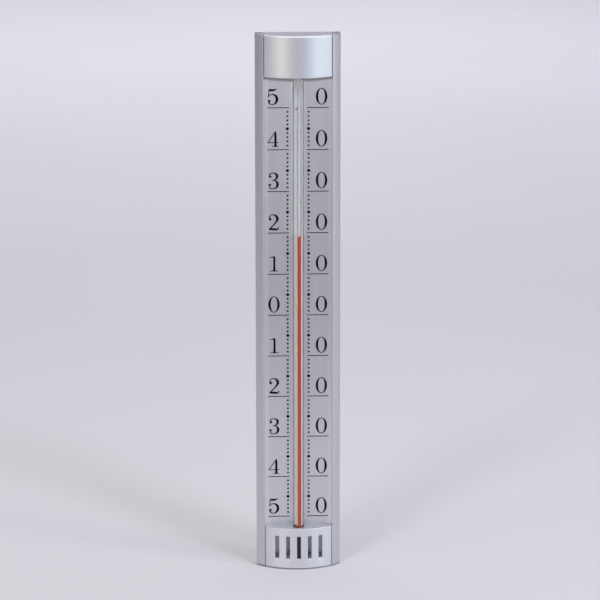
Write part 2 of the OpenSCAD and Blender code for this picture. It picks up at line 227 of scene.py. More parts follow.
def pen_stroke(knots, closed=False):
    """Closed skin of one inked stroke in x and z: a band along the path through knots of x, z
    and half width, its sides set off along the path's normal, INK_T thick."""
    path = np.asarray(knots, float) if closed else smooth_path(knots)
    if closed:
        along = np.roll(path, -1, 0) - np.roll(path, 1, 0)
    else:
        along = np.gradient(path, axis=0)
    along = unit(along[:, :2])
    off = np.stack([-along[:, 1], along[:, 0]], 1) * (path[:, 2:] * PEN_GAIN + PEN_SPREAD)
    left, right = path[:, :2] + off, path[:, :2] - off
    front, back = PLATE_D - INK_T, PLATE_D
    rings = np.stack([at_depth(*corner) for corner in ((left, front), (right, front),
                                                       (right, back), (left, back))], 1)
    if not closed:
        return carried(rings)
    faces = grid_faces(len(rings) + 1, 4, wrap=True) % (4 * len(rings))
    return rings.reshape(-1, 3), faces.tolist()


def inked(outline):
    """Closed skin of an outline in x and z carried through the ink's thickness."""
    return carried(np.stack([at_depth(outline, d) for d in (PLATE_D - INK_T, PLATE_D)]))


def moved(part, shift):
    """A part set off by shift."""
    return part[0] + np.asarray(shift, float), part[1]


def mirrored(part):
    """A part's copy on the other side of the middle; closed_mesh turns its faces out again."""
    return part[0] * (-1, 1, 1), part[1]


# ---------------------------------------------------------------- pieces

def closed_mesh(name, skins, hollows=()):
    """Mesh of closed skins given in millimetres by x, depth and z. Doubles are merged and the
    faces point out of the material: outwards on a skin and inwards on a hollow's."""
    same, thinnest = 2e-7, 1e-8          # metres
    bm = bmesh.new()
    for group, inward in ((skins, False), (hollows, True)):
        for points, faces in group:
            part = bpy.data.meshes.new("part")
            part.from_pydata(((points - (0, BODY_D / 2, 0)) * MM).tolist(), [], faces)
            one = bmesh.new()
            one.from_mesh(part)
            bmesh.ops.remove_doubles(one, verts=one.verts, dist=same)
            bmesh.ops.dissolve_degenerate(one, edges=one.edges, dist=thinnest)
            bmesh.ops.recalc_face_normals(one, faces=one.faces)
            if inward:
                bmesh.ops.reverse_faces(one, faces=one.faces)
            one.to_mesh(part)
            one.free()
            bm.from_mesh(part)
            bpy.data.meshes.remove(part)
    mesh = bpy.data.meshes.new(name)
    bm.to_mesh(mesh)
    bm.free()
    return mesh


def place(name, mesh, finish, stands_for, body="housing", sharp=38.0):
    """Adds a piece to the scene: smooth but for edges sharper than sharp degrees, with its
    finish, riding on its body and standing for its solid. The column rides on no one body."""
    mesh.shade_smooth()
    mesh.set_sharp_from_angle(angle=math.radians(sharp))
    obj = bpy.data.objects.new(name, mesh)
    bpy.context.scene.collection.objects.link(obj)
    mesh.materials.append(finish)
    if body:
        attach(obj, body)
    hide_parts(stands_for)
    return obj


# ---------------------------------------------------------------- materials

def linear(code):
    """Linear colour of an sRGB hex code: up to 0.04045 the value over 12.92, and above it the
    power 2.4 of the value plus 0.055, over 1.055."""
    c = np.array([int(code[i:i + 2], 16) for i in (0, 2, 4)]) / 255
    return (*np.where(c <= 0.04045, c / 12.92, ((c + 0.055) / 1.055) ** 2.4).tolist(), 1.0)


def add(tree, kind, inputs=None, **settings):
    """Adds a node. inputs holds a value for each named socket, or the pair of a node and the
    name of its output to link from."""
    node = tree.nodes.new(kind)
    for key, value in settings.items():
        setattr(node, key, value)
    for key, value in (inputs or {}).items():
        if isinstance(value, tuple) and isinstance(value[0], bpy.types.Node):
            tree.links.new(value[0].outputs[value[1]], node.inputs[key])
        else:
            node.inputs[key].default_value = value
    return node


def material(name, **surface):
    """New material with its shader, whose sockets are set by name with spaces as underscores;
    returns the material, its tree, its shader and the object coordinates."""
    made = bpy.data.materials.new(name)
    made.use_nodes = True
    tree = made.node_tree
    shader = tree.nodes["Principled BSDF"]
    for key, value in surface.items():
        shader.inputs[key.replace("_", " ")].default_value = value
    return made, tree, shader, add(tree, "ShaderNodeTexCoord")


def bump(tree, shader, height, distance):
    """Links a height to the shader's normal; distance is the relief in metres."""
    relief = add(tree, "ShaderNodeBump", {"Height": height, "Distance": distance,
                                          "Strength": 1.0})
    tree.links.new(relief.outputs["Normal"], shader.inputs["Normal"])


NOISE_LOW, NOISE_HIGH = 0.3, 0.7     # nearly all of the noise lies between these


def grain(tree, coord, size_mm, detail):
    """Noise with grains of the given sizes in millimetres along x, y and z, as the pair of its
    node and output."""
    scaled = add(tree, "ShaderNodeMapping", {"Vector": (coord, "Object"),
                                             "Scale": [1 / (s * MM) for s in size_mm]})
    noise = add(tree, "ShaderNodeTexNoise", {"Vector": (scaled, "Vector"), "Scale": 1.0,
                                             "Detail": detail, "Roughness": 0.6})
    return noise, "Fac"


def spread(tree, shader, noise, low, high):
    """Links the roughness to noise drawn out over low to high."""
    out = add(tree, "ShaderNodeMapRange", {"Value": noise, "From Min": NOISE_LOW,
                                           "From Max": NOISE_HIGH, "To Min": low, "To Max": high})
    tree.links.new(out.outputs["Result"], shader.inputs["Roughness"])


def tinted(tree, shader, source, low_code, high_code, between=(NOISE_LOW, NOISE_HIGH)):
    """Links the base colour to a source: one colour up to the first of two of its values, the
    other from the second on, and a blend between them."""
    ramp = add(tree, "ShaderNodeValToRGB", {"Fac": source})
    for stop, value, code in zip(ramp.color_ramp.elements, between, (low_code, high_code)):
        stop.position, stop.color = value, linear(code)
    tree.links.new(ramp.outputs["Color"], shader.inputs["Base Color"])


def grained(name, size_mm, detail, tones, roughness, relief=None, **surface):
    """Material whose tone, gloss and relief all follow one grain: from the first tone to the
    second and from the first roughness to the second, with a relief in millimetres. Returns
    what material() does."""
    made, tree, shader, coord = material(name, **surface)
    noise = grain(tree, coord, size_mm, detail)
    tinted(tree, shader, noise, *tones)
    spread(tree, shader, noise, *roughness)
    if relief:
        bump(tree, shader, noise, relief * MM)
    return made, tree, shader, coord


def extruded_aluminium():
    """Aluminium alloy pushed through a die, pickled and clear anodised: satin, with faint
    lines along the length from the die."""
    return grained("aluminium_extruded_satin_anodised", (0.35, 0.35, 90.0), 3.0,
                   ("CCCCD1", "D3D3D8"), (0.36, 0.46), 0.004, Metallic=1.0)[0]


def brushed_plate():
    """Aluminium sheet brushed lengthwise and clear anodised: a fine even grain, drawn about
    twice as coarse as the real 0.1 mm so that it shows. Three tones are painted on it: a faint
    violet tint towards the top, painted for the colour the metal reflects there; painted light
    that makes it paler towards the long edges beside the rails; and a painted shadow, a dark line
    along the foot of the cap, higher at the sides by a share of x squared."""
    made, tree, shader, coord = grained(
        "aluminium_sheet_brushed_anodised", (0.22, 0.22, 24.0), 3.0, ("D6D6DD", "DEDEE5"),
        (0.36, 0.46), 0.003, Metallic=1.0, Anisotropic=0.8)
    around = add(tree, "ShaderNodeTangent", direction_type="RADIAL", axis="Z")
    tree.links.new(around.outputs["Tangent"], shader.inputs["Tangent"])
    violet_low_z, violet_top_z, painted_light_from_x = 120, 230, 13.4
    # Painted shadow under the cap: how far below the cap it lies, and how it rises to the sides
    painted_shadow_low, painted_shadow_top, painted_shadow_curve = 3.05, 2.1, 0.005      # below the cap, and per millimetre
    apart = add(tree, "ShaderNodeSeparateXYZ", {"Vector": (coord, "Object")})
    aside = add(tree, "ShaderNodeMath", {0: (apart, "X")}, operation="ABSOLUTE")
    square = add(tree, "ShaderNodeMath", {0: (apart, "X"), 1: (apart, "X")}, operation="MULTIPLY")
    height = add(tree, "ShaderNodeMath", {0: (square, "Value"), 1: -painted_shadow_curve / MM,
                                          2: (apart, "Z")}, operation="MULTIPLY_ADD")
    colour = shader.inputs["Base Color"].links[0].from_socket
    for value, low, high, tone, blend in (
            # a faint violet tint towards the top, painted for the colour the metal reflects there
            ((apart, "Z"), violet_low_z, violet_top_z, "FFFAFF", "MULTIPLY"),
            # paler towards the long edges, painted light beside the rails
            ((aside, "Value"), painted_light_from_x, RAIL_X, "F2F0F5", "MIX"),
            # a dark line under the cap, painted shadow that follows the cap's arc
            ((height, "Value"), CAP_Z - painted_shadow_low, CAP_Z - painted_shadow_top, "96969C", "MIX")):
        share = add(tree, "ShaderNodeMapRange", {"Value": value, "From Min": low * MM,
                                                 "From Max": high * MM})
        mixed = add(tree, "ShaderNodeMixRGB", {"Fac": (share, "Result"), "Color2": linear(tone)},
                    blend_type=blend)
        tree.links.new(colour, mixed.inputs["Color1"])
        colour = mixed.outputs["Color"]
    tree.links.new(colour, shader.inputs["Base Color"])
    return made


def satin_paint():
    """Silver spray paint on moulded ABS: aluminium flakes in a satin lacquer, so it shines
    like metal but spreads the light; the flakes give a fine sparkle of 0.15 mm."""
    return grained("abs_moulded_silver_satin_paint", (0.15, 0.15, 0.15), 2.0,
                   ("D8D9E0", "E0E1E8"), (0.44, 0.52), 0.002, Metallic=0.85, Coat_Weight=0.15,
                   Coat_Roughness=0.25)[0]


def bare_plastic():
    """Pale grey ABS as moulded, inside the cap and the cover where the spray doesn't reach."""
    return grained("abs_moulded_grey_unpainted", (0.3, 0.3, 0.3), 2.0, ("E0E0E2", "E8E8EA"),
                   (0.5, 0.62))[0]


def drawn_glass():
    """Soda glass drawn to a tube by flame, clear and fully smooth. Seen square on, the
    wall hardly stops the light; towards the sides its colour is painted grey, partly for the
    longer way the eye looks along the wall and partly as painted shade for the tube's dark
    edges. A tenth of the light is lost on its way to what lies behind."""
    made, tree, shader, _ = material("soda_glass_drawn_clear", Transmission_Weight=1.0, IOR=1.5,
                                     Roughness=0.0)
    # Painted shade: the glass greys towards its sides
    slant = add(tree, "ShaderNodeLayerWeight", {"Blend": 0.5})
    tinted(tree, shader, (slant, "Facing"), "FFFFFF", "6C6D71", (0.24, 0.52))
    path = add(tree, "ShaderNodeLightPath")
    stopped = add(tree, "ShaderNodeMapRange", {"Value": (path, "Is Shadow Ray"), "To Min": 1.0,
                                               "To Max": 0.1})
    tree.links.new(stopped.outputs["Result"], shader.inputs["Alpha"])
    return made


def dyed_spirit():
    """Alcohol dyed red behind the glass, which it wets, so it has no gloss of its own. It is
    deepest in the middle, and its colour is painted paler, to pink, at the sides: painted light for
    where the eye looks along the bore through little spirit and the bright wall of the bore shows."""
    made, tree, shader, _ = material("spirit_dyed_red", Specular_IOR_Level=0.0, Roughness=1.0)
    slant = add(tree, "ShaderNodeLayerWeight", {"Blend": 0.5})
    # Painted light: the spirit pales to pink towards its sides
    tinted(tree, shader, (slant, "Facing"), "AE4E38", "FFDCD8", (0.24, 0.38))
    return made


def deep_spirit():
    """The same spirit in the bulb, where the thick layer swallows most of the light; it
    clears to red as the layer thins from the bulb to the bore."""
    made, tree, shader, coord = material("spirit_dyed_red_deep", Specular_IOR_Level=0.0,
                                         Roughness=1.0)
    apart = add(tree, "ShaderNodeSeparateXYZ", {"Vector": (coord, "Object")})
    height = add(tree, "ShaderNodeMapRange", {"Value": (apart, "Z"), "From Min": BULB_END_Z * MM,
                                              "From Max": COLUMN_FOOT_Z * MM})
    tinted(tree, shader, (height, "Result"), "460A0A", "A8261A", (0.0, 1.0))
    return made


def screen_ink(name, low_code, high_code):
    """Screen ink, matt, with a slightly uneven film."""
    return grained(name, (0.25, 0.25, 0.25), 2.0, (low_code, high_code), (0.5, 0.65),
                   Specular_IOR_Level=0.12)[0]


def soft_rubber():
    """Black rubber, moulded and matt, with a fine bloom."""
    return grained("rubber_moulded_black", (0.4, 0.4, 0.4), 3.0, ("1A1A1C", "26262A"),
                   (0.6, 0.8), 0.01)[0]


def plated_steel():
    """Steel screws, rolled and zinc plated: bright with a fine mottle."""
    return grained("steel_zinc_plated", (0.5, 0.5, 0.5), 3.0, ("A9ABB0", "BCBEC3"),
                   (0.22, 0.36), 0.004, Metallic=1.0)[0]


EXTRUSION, SHEET, PAINT, BARE = extruded_aluminium(), brushed_plate(), satin_paint(), bare_plastic()
GLASS, SPIRIT, DEEP_SPIRIT = drawn_glass(), dyed_spirit(), deep_spirit()
INK = screen_ink("screen_ink_black", "050507", "0C0C0F")
PALE_INK = screen_ink("screen_ink_pale", "CCCDD3", "D2D3D9")
RUBBER, STEEL = soft_rubber(), plated_steel()


# ---------------------------------------------------------------- profile

def rail():
    """Right rail: its outline seen from above carried up the height. The front is the arc,
    the long corners are rounded, the groove for the plate is on the inner side, and both saw
    cuts have a small chamfer."""
    chamfer, collar, lip_r, arc_points = 0.12, 1.0, 0.1, 10
    side_x, groove_back = BODY_W / 2, PLATE_D + PLATE_T
    arc_x = np.linspace(RAIL_X, side_x, arc_points)
    corners = [*np.stack([arc_x, arc_depth(arc_x)], 1), (side_x, BODY_D), (RAIL_X, BODY_D),
               (RAIL_X, groove_back), (GROOVE_X, groove_back), (GROOVE_X, GROOVE_D),
               (RAIL_X, GROOVE_D)]
    radii = [RAIL_INNER_R, *[0.0] * (arc_points - 2), RAIL_EDGE_R, RAIL_EDGE_R, RAIL_INNER_R,
             0.0, 0.0, 0.0, lip_r]
    outline = rounded(corners, radii)
    small = inset(outline, -chamfer)
    rings = [(small, 0), (outline, chamfer), (outline, collar), (outline, BODY_H - collar),
             (outline, BODY_H - chamfer), (small, BODY_H)]
    return carried(np.stack([np.column_stack([o, np.full(len(o), z)]) for o, z in rings]))


def keyhole():
    """Outline of the keyhole: a circle below that runs into a slot with a round end above."""
    half = KEY_SLOT_W / 2
    meet = math.asin(half / KEY_R)
    a = np.linspace(np.pi / 2 + meet, np.pi * 2.5 - meet, 60)
    entry = np.stack([KEY_R * np.cos(a), KEY_Z + KEY_R * np.sin(a)], 1)
    b = np.linspace(0, np.pi, 24)
    end = np.stack([half * np.cos(b), KEY_SLOT_Z + half * np.sin(b)], 1)
    return np.concatenate([entry, end])


def screw_holes():
    """Outlines of the four clearance holes."""
    return [circle(side * x, z, SCREW_HOLE_R, 32)
            for x, z in (CAP_SCREW, COVER_SCREW) for side in (-1, 1)]


web_sink, web_gap = 0.2, 0.01        # into the rails, and behind the plate
rails = closed_mesh("profile_rails", [rail(), mirrored(rail())])
web_x = RAIL_X + web_sink
web = closed_mesh("profile_web", [sheet(box(-web_x, web_x, WEB_LOW_Z, WEB_TOP_Z),
                                        [keyhole(), *screw_holes()], WEB_D + web_gap, WEB_BACK_D)])
place("profile_rails", rails, EXTRUSION, "profile")
place("profile_web", web, EXTRUSION, "profile")


# ---------------------------------------------------------------- scale plate and print

bulb_cut, bulb_cut_z, nail_cut, nail_cut_z = 3.65, 18.8, 4.5, 240.4
plate_outline = np.array([
    [-PLATE_X, WEB_LOW_Z], [-bulb_cut, WEB_LOW_Z], [-bulb_cut, bulb_cut_z], [bulb_cut, bulb_cut_z],
    [bulb_cut, WEB_LOW_Z], [PLATE_X, WEB_LOW_Z], [PLATE_X, WEB_TOP_Z], [nail_cut, WEB_TOP_Z],
    [nail_cut, nail_cut_z], [-nail_cut, nail_cut_z], [-nail_cut, WEB_TOP_Z], [-PLATE_X, WEB_TOP_Z]])
plate = sheet(plate_outline, screw_holes(), PLATE_D, PLATE_D + PLATE_T)
place("scale_plate_sheet", closed_mesh("scale_plate_sheet", [plate]), SHEET,
      "scale_plate")

lines, dots = [], []
for side in (-1, 1):
    for degree in range(-SCALE_END, SCALE_END + 1):
        z = ZERO_Z + DEGREE * degree
        if degree % 10 == 0:
            ends = sorted((side * LINE_X, side * (LINE_X + LINE_LEN)))
            lines.append(inked(box(*ends, z - LINE_W / 2, z + LINE_W / 2)))
        else:
            r = DOT_R if degree % 5 else DOT_FIVE_R
            dots.append(inked(circle(side * DOT_X, z, r, 16)))
place("scale_lines", closed_mesh("scale_lines", lines), INK, "scale_marks")
place("scale_dots", closed_mesh("scale_dots", dots), INK, "scale_marks")

# Pale ground behind the tube, which makes the glass bright
ground_x, ground_t, ground_zs = 1.9, 0.03, (20.5, 238.0)
ground = sheet(box(-ground_x, ground_x, *ground_zs), [], PLATE_D - ground_t, PLATE_D)
place("scale_pale_ground", closed_mesh("scale_pale_ground", [ground]), PALE_INK,
      "scale_marks")

# Numerals in a modern face, thick uprights and thin joins, in millimetres from the left foot of
# each numeral's cell. A stroke is rows of x, z and half width; a ball is x, z and radius.
NUMERAL_STROKES = {
    1: ([[(0.94, 6.72, 0.08), (1.79, 6.75, 0.14), (2.64, 6.92, 0.24), (3.29, 7.25, 0.22)],
         [(3.17, 7.05, 0.40), (3.17, 5.0, 0.42), (3.17, 2.6, 0.42), (3.17, 0.8, 0.46),
          (3.17, 0.30, 0.72)],
         [(1.09, 0.10, 0.10), (2.29, 0.14, 0.14), (3.17, 0.18, 0.20), (4.09, 0.14, 0.14),
          (5.14, 0.10, 0.10)]],
        []),
    2: ([[(0.80, 5.75, 0.22), (1.05, 6.55, 0.18), (1.95, 7.28, 0.15), (3.05, 7.35, 0.22),
          (4.05, 6.85, 0.42), (4.72, 5.50, 0.54), (4.25, 4.10, 0.36), (3.20, 2.85, 0.26),
          (1.95, 1.50, 0.22), (0.72, 0.22, 0.18)],
         [(0.66, 0.20, 0.16), (1.40, 0.46, 0.38), (2.65, 0.42, 0.46), (4.00, 0.30, 0.42),
          (4.80, 0.40, 0.28), (5.15, 0.95, 0.16), (5.30, 1.60, 0.06)]],
        [(1.32, 5.25, 0.60)]),
    3: ([[(0.95, 6.35, 0.22), (1.30, 7.00, 0.19), (2.10, 7.38, 0.16), (3.05, 7.42, 0.19),
          (4.05, 7.00, 0.38), (4.60, 6.05, 0.52), (4.30, 4.85, 0.38), (3.45, 4.15, 0.19),
          (2.35, 3.92, 0.13)],
         [(2.35, 3.92, 0.13), (3.60, 3.85, 0.19), (4.45, 3.15, 0.40), (4.82, 1.90, 0.54),
          (4.35, 0.66, 0.38), (3.35, 0.05, 0.19), (2.35, -0.10, 0.16), (1.45, 0.18, 0.19),
          (0.86, 0.92, 0.24)]],
        [(1.36, 5.80, 0.56), (1.17, 1.72, 0.56)]),
    4: ([[(3.94, 7.35, 0.16), (3.88, 5.9, 0.42), (3.88, 3.4, 0.46), (3.88, 0.9, 0.46),
          (3.88, 0.28, 0.70)],
         [(3.92, 7.28, 0.14), (2.10, 4.60, 0.14), (0.32, 1.98, 0.14)],
         [(0.20, 1.96, 0.14), (2.40, 1.98, 0.13), (5.30, 2.14, 0.13)],
         [(2.30, 0.08, 0.10), (3.20, 0.13, 0.14), (3.88, 0.16, 0.18), (4.50, 0.13, 0.14),
          (5.25, 0.08, 0.10)]],
        []),
    5: ([[(0.86, 7.10, 0.18), (1.30, 6.96, 0.40), (2.10, 6.86, 0.46), (3.10, 6.92, 0.38),
          (4.00, 7.20, 0.22), (4.72, 7.52, 0.04)],
         [(0.92, 7.30, 0.14), (0.86, 6.2, 0.14), (0.76, 4.9, 0.14), (0.60, 3.70, 0.20)],
         [(0.54, 3.60, 0.14), (1.05, 4.40, 0.14), (1.95, 4.86, 0.16), (3.05, 4.80, 0.27),
          (4.08, 4.18, 0.46), (4.62, 2.86, 0.54), (4.40, 1.46, 0.48), (3.60, 0.50, 0.30),
          (2.50, 0.12, 0.16), (1.40, 0.38, 0.20), (0.72, 1.18, 0.24)]],
        [(0.96, 1.76, 0.58)]),
}


def nought(middle_x):
    """Oval nought about middle_x: its pen follows cosine and sine of the two half sizes, and
    grows from thin at top and foot to thick at the sides with the square of the cosine."""
    a = np.arange(64) / 64 * 2 * np.pi
    middle_z, half_w, half_h, thin, thick = 3.84, 2.63, 3.92, 0.13, 0.50
    width = thin + (thick - thin) * np.cos(a) ** 2
    return pen_stroke(np.stack([middle_x + (half_w - thick) * np.cos(a),
                                middle_z + (half_h - thin) * np.sin(a), width], 1), closed=True)


numerals = []
for degree in range(-SCALE_END, SCALE_END + 1, 10):
    foot = (0, 0, ZERO_Z + DEGREE * degree + NUMERAL_UP)
    numerals.append(moved(nought(RIGHT_NOUGHT_X), foot))
    if degree == 0:
        numerals.append(moved(nought(LEFT_NOUGHT_X), foot))
        continue
    strokes, balls = NUMERAL_STROKES[abs(degree) // 10]
    cell = np.add(foot, (LEFT_CELL_X, 0, 0))
    numerals += [moved(pen_stroke(s), cell) for s in strokes]
    numerals += [moved(inked(circle(x, z, r * PEN_GAIN, 24)), cell) for x, z, r in balls]
place("scale_numerals", closed_mesh("scale_numerals", numerals), INK, "scale_marks")


# ---------------------------------------------------------------- tube and spirit

BULB_STEPS = 12


def bulb_profile(wide_r, stem_r, low, top_centre):
    """Radius and height of a bulb that tapers into a stem, both ends round, with close rings
    beside each bend so that the straight lengths stay straight."""
    s, c = quarter(BULB_STEPS)
    close = 0.15
    foot = np.stack([wide_r * s, low + wide_r * (1 - c)], 1)
    body = [(wide_r, low + wide_r + close), (wide_r, BULB_END_Z - close), (wide_r, BULB_END_Z),
            (stem_r, STEM_Z), (stem_r, STEM_Z + close), (stem_r, top_centre - close)]
    tip = np.stack([stem_r * c, top_centre + stem_r * s], 1)
    return np.concatenate([foot, body, tip])


def bore_skin(profile):
    """Closed skin of what lies in the glass: a profile turned round the middle of the tube,
    its points moved to the right by a share that grows along the neck of the bulb from
    nothing to BORE_X, because a drawn bore seldom runs in the middle of its stem."""
    points, faces = turned(profile, TUBE_AXIS, 64)
    points[:, 0] += np.interp(points[:, 2], (BULB_END_Z, STEM_Z), (0, BORE_X))
    return points, faces


hollow_r, hollow_z, wet_r = BULB_R - BULB_WALL, BULB_Z + BULB_WALL, BORE_R + WET
outer = turned(bulb_profile(BULB_R, TUBE_R, BULB_Z, TUBE_TOP_Z - TUBE_R), TUBE_AXIS, 96)
bore = bore_skin(bulb_profile(hollow_r, BORE_R, hollow_z, BORE_TOP_Z - BORE_R))
place("glass_tube_drawn", closed_mesh("glass_tube_drawn", [outer], [bore]), GLASS,
      "glass_tube", sharp=60)

# Spirit in the bulb and the foot of the bore, up to where the moving part of the column begins:
# a bulb whose tip gives way to a flat end
fill = bulb_profile(hollow_r + WET, wet_r, hollow_z - WET, COLUMN_FOOT_Z)[:-(BULB_STEPS + 1)]
fill = np.concatenate([fill, [(wet_r, COLUMN_FOOT_Z), (0, COLUMN_FOOT_Z)]])
place("bulb_spirit_fill", closed_mesh("bulb_spirit_fill", [bore_skin(fill)]), DEEP_SPIRIT,
      "bulb_spirit")

# The column has rings at its two ends alone, so the pose stretches it evenly
column = bore_skin([(0, COLUMN_FOOT_Z), (wet_r, COLUMN_FOOT_Z), (wet_r, COLUMN_TOP_Z),
                    (0, COLUMN_TOP_Z)])
column = place("spirit_column_thread", closed_mesh("spirit_column_thread", [column]), SPIRIT,
               "spirit_column", body=None)
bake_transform(column)

# Its top is hollow: from the middle to the glass it rises with the square of the radius
dish_fall, dish_in = 0.24, quarter(8)[0]
dish = np.stack([wet_r * (1 - dish_in), READING_Z - dish_fall * (1 - (1 - dish_in) ** 2)], 1)
top = np.concatenate([[(0, COLUMN_TOP_Z), (wet_r, COLUMN_TOP_Z)], dish])
place("meniscus_top", closed_mesh("meniscus_top", [bore_skin(top)]), SPIRIT, "meniscus",
      body="spirit_top")


def tick(z):
    """Closed skin of a maker's tick on the glass: a short band of ink round its front, at sine
    and cosine of the angle from the front, half in the glass and half out of it."""
    half_turn, half, thick, points = 0.26, 0.24, 0.03, 9
    a = np.linspace(-half_turn, half_turn, points) + math.asin(TICK_X / TUBE_R)
    low_in, low_out = (TUBE_R - thick, -half), (TUBE_R + thick, -half)
    top_in, top_out = (TUBE_R - thick, half), (TUBE_R + thick, half)
    return carried(np.stack([
        np.stack([r * np.sin(a), AXIS_D - r * np.cos(a), np.full(points, z + h)], 1)
        for r, h in (low_in, low_out, top_out, top_in)], 1))


place("glass_tube_tick", closed_mesh("glass_tube_tick", [tick(TICK_Z)]), INK,
      "glass_tube")


# ---------------------------------------------------------------- rubber parts

def rubber_ring(inner_r, outer_r, low, high, edge_r):
    """Closed skin of a ring round the tube: its section with rounded corners turned round the
    axis, which it doesn't touch. The last section lies on the first and is merged with it."""
    segments = 64
    section = rounded([(inner_r, low), (outer_r, low), (outer_r, high), (inner_r, high)], edge_r, 5)
    a = (np.arange(segments + 1) % segments / segments * 2 * np.pi)[:, None]
    r, h = section[None, :, 0], section[None, :, 1]
    points = np.stack([r * np.cos(a), r * np.sin(a), h + 0 * a], -1) + np.asarray(TUBE_AXIS, float)
    return points.reshape(-1, 3), grid_faces(segments + 1, len(section), wrap=True).tolist()


fit_gap = 0.02                       # between the rubber and the glass
for name, node, ends in (("upper_sleeve_ring", "upper_sleeve", UPPER_SLEEVE),
                         ("lower_sleeve_ring", "lower_sleeve", LOWER_SLEEVE)):
    ring = rubber_ring(TUBE_R + fit_gap, SLEEVE_R, *ends, 0.12)
    place(name, closed_mesh(name, [ring]), RUBBER, node)

# The pad has a hollow for the foot of the bulb, a part of a ball
pad_edge, pad_rim, cup_r = 0.15, 0.1, BULB_R + fit_gap
cup_end = np.sqrt(cup_r ** 2 - (cup_r - (PAD_TOP_Z - BULB_Z + fit_gap)) ** 2)
cup_x = cup_end * np.linspace(1, 0, 11)
cup_z = BULB_Z - fit_gap + cup_r - np.sqrt(cup_r ** 2 - cup_x ** 2)
pad = [(0, PAD_Z), (PAD_R - pad_edge, PAD_Z), (PAD_R, PAD_Z + pad_edge),
       (PAD_R, PAD_TOP_Z - pad_rim), *zip(cup_x, cup_z)]
place("bulb_pad_cup", closed_mesh("bulb_pad_cup", [turned(pad, TUBE_AXIS, 64)]), RUBBER,
      "bulb_pad")


# ---------------------------------------------------------------- cap and cover

def slot_fall(x, z, slots):
    """How far the front wall falls back beside a slot: a quarter round of SLOT_EDGE_R by the
    distance from the slot's rectangle."""
    middle_z, half_h = (SLOT_LOW_Z + SLOT_TOP_Z) / 2, (SLOT_TOP_Z - SLOT_LOW_Z) / 2
    fall = np.zeros(np.broadcast(x, z).shape)
    for middle_x in slots:
        off = np.hypot(np.maximum(np.abs(x - middle_x) - SLOT_W / 2, 0),
                       np.maximum(np.abs(z - middle_z) - half_h, 0))
        left = np.clip(SLOT_EDGE_R - off, 0, SLOT_EDGE_R)
        fall = np.maximum(fall, SLOT_EDGE_R - np.sqrt(SLOT_EDGE_R ** 2 - left ** 2))
    return fall


def shell_slices(slots):
    """Places of a shell's slices from side to side, close together at the sides, round the
    entry of the stem and at the edges of the slots, and whether the lip reaches the plate at
    each. The lip's end jumps where the entry ends, so that slice comes twice."""
    least, same = 0.02, 1e-3
    x = [np.linspace(0, SHELL_X - SIDE_EDGE_R, 29), SHELL_X - SIDE_EDGE_R * (1 - quarter(4)[0]),
         ENTRY_R * quarter(9)[0]]
    for middle in slots:
        if middle >= 0:
            x += [middle + side * (SLOT_W / 2 + SLOT_EDGE_LINES) for side in (-1, 1)]
    x = np.unique(np.round(np.concatenate(x), 4))
    x = x[x >= 0]
    x = x[np.append(np.diff(x) > least, True)]
    x = np.concatenate([-x[:0:-1], x])
    x = np.repeat(x, 1 + np.isclose(np.abs(x), ENTRY_R, atol=same))
    full = np.abs(x) > ENTRY_R - same
    for side in (-1, 1):
        full[np.isclose(x, side * ENTRY_R, atol=same)] = (side < 0, side > 0)
    return x, full


def slot_cuts(x, rows, slots, front_row, inner_row, around):
    """Where slots go through a shell of slices at x, whose front begins at front_row and whose
    inside begins at inner_row: which faces they take out, and the walls that join the edge of
    each hole in the front to that of the hole inside."""
    def bridge(outer, inner):
        """Faces between two rows of corners."""
        return np.stack([outer[:-1], outer[1:], inner[1:], inner[:-1]], 1).tolist()

    station, row = np.divmod(np.arange((len(x) - 1) * around), around)
    foot, head = (int(np.argmin(np.abs(rows - z))) for z in (SLOT_LOW_Z, SLOT_TOP_Z))
    front = front_row + np.arange(foot, head + 1)
    inside = inner_row + len(rows) - 1 - np.arange(foot, head + 1)
    in_rows = ((row >= front[0]) & (row < front[-1])) | ((row >= inside[-1]) & (row < inside[0]))
    gone, walls = np.zeros(len(row), bool), []
    for middle in slots:
        first, last = (int(np.argmin(np.abs(x - (middle + side * SLOT_W / 2))))
                       for side in (-1, 1))
        gone |= in_rows & (station >= first) & (station < last)
        for at in (first * around, last * around):
            walls += bridge(at + front, at + inside)
        span = np.arange(first, last + 1) * around
        for end in (0, -1):
            walls += bridge(span + front[end], span + inside[end])
    return gone, walls


